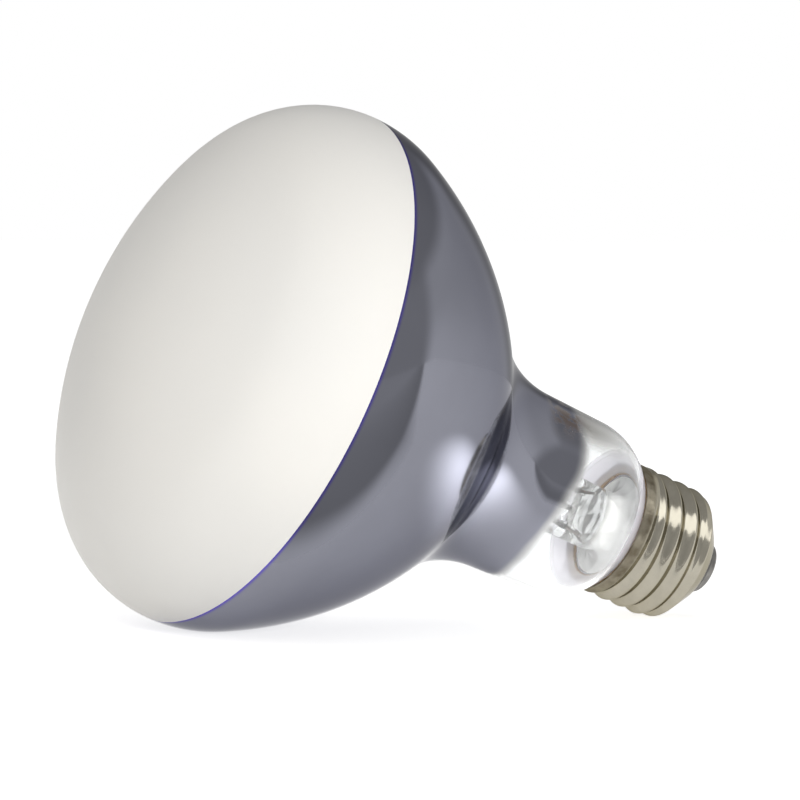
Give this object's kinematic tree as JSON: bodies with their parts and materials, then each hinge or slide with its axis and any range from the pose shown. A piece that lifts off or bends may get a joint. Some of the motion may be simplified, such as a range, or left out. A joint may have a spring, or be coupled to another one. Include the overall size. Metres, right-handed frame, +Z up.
{
  "type": "reflector mercury vapor bulb",
  "caption": "Reflector bulb with a frosted front dome, mirrored bowl, clear neck showing the glass stem and wires, and a nickel-plated screw cap, lying on its side.",
  "frame": {"origin": "centre of the bounding box, on the surface that the bulb lies on", "axes": "+Z up; +X from the front dome towards the cap, along the floor; the bulb's own axis dips towards the cap"},
  "size_m": [0.1286, 0.0998, 0.0957],
  "materials": {
    "coated_glass": "frosted front, mirrored bowl, clear neck",
    "clear_glass": "clear",
    "quartz": "clear",
    "copper": "bare wire",
    "nickel_wire": "drawn wire",
    "tungsten": "drawn wire",
    "foil": "rolled foil",
    "strap_steel": "stamped strip",
    "resistor": "matte",
    "nickel_plate": "nickel plated, bright",
    "dark_glass": "opaque, glossy",
    "contact_metal": "dulled",
    "solder": "satin",
    "cement": "matte"
  },
  "bodies": {
    "root": {"glass_envelope": "coated_glass", "stem_glass": "clear_glass", "exhaust_tube": "clear_glass", "filament_bead": "clear_glass", "arc_tube": "quartz", "live_outer_lead": "copper", "neutral_outer_lead": "copper", "live_frame_rod": "nickel_wire", "neutral_rod": "nickel_wire", "brace_rod": "nickel_wire", "front_arc_lead": "nickel_wire", "rear_arc_lead": "nickel_wire", "starting_lead": "nickel_wire", "front_electrode": "tungsten", "rear_electrode": "tungsten", "starting_electrode": "tungsten", "ballast_filament": "tungsten", "filament_hook": "tungsten", "front_foil": "foil", "rear_foil": "foil", "starting_foil": "foil", "front_strap": "strap_steel", "rear_strap": "strap_steel", "starting_resistor": "resistor", "screw_shell": "nickel_plate", "cap_insulator": "dark_glass", "centre_contact": "contact_metal", "contact_solder": "solder", "side_solder": "solder", "basing_cement": "cement"}
  },
  "joints": []
}
